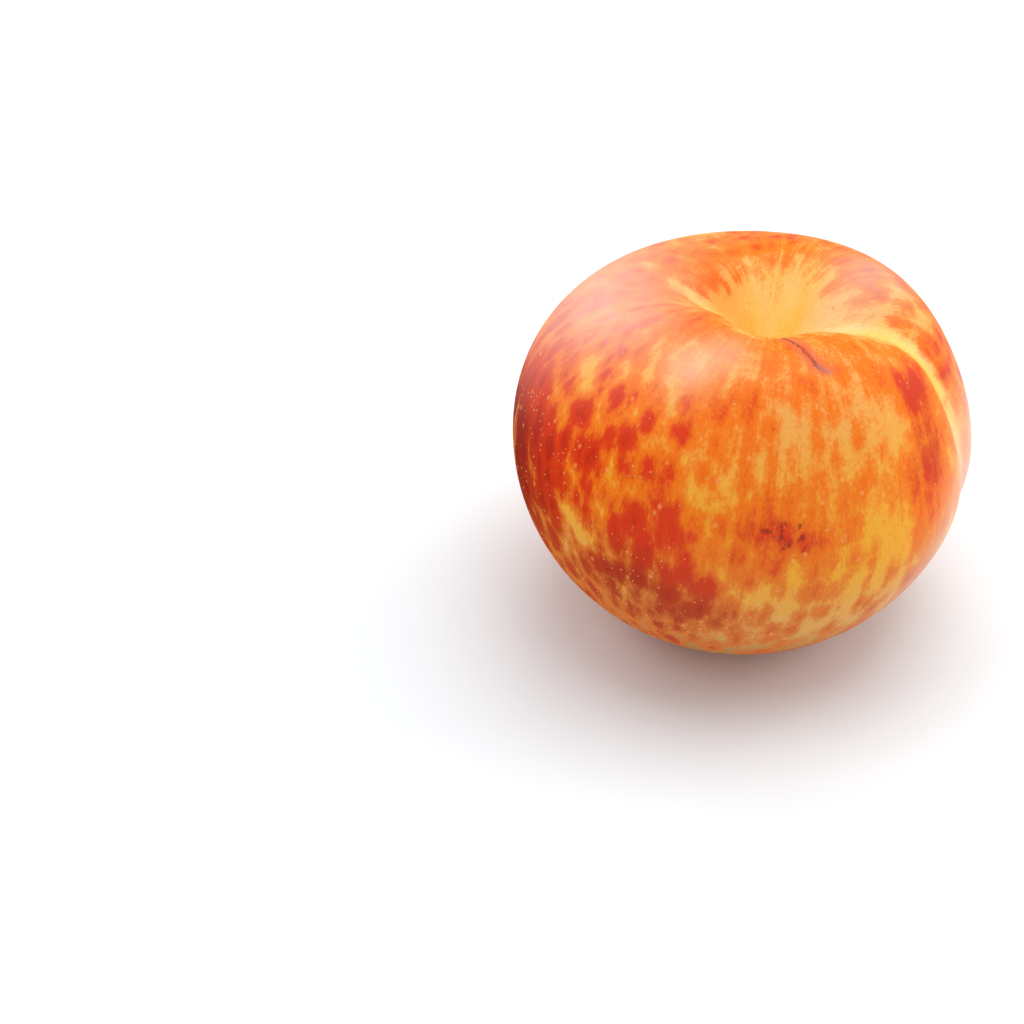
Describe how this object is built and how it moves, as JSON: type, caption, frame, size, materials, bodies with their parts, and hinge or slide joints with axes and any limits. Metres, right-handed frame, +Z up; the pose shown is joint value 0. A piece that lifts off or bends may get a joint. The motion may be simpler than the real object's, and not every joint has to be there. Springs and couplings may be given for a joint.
{
  "type": "pluot",
  "caption": "Whole ripe pluot with a funnel-shaped stem basin, a shallow seam down one side and a hollow blossom end on which it stands.",
  "frame": {"origin": "on the table, under the middle of the fruit's bounding box", "axes": "+Z is up with the stem basin on top, +X is towards the seam side, and the leaning stem end tips towards +X"},
  "size_m": [0.072, 0.0696, 0.0612],
  "materials": {
    "skin": "waxy satin fruit skin, red mottle over a golden ground"
  },
  "bodies": {
    "root": {"pluot": "skin"}
  },
  "joints": []
}
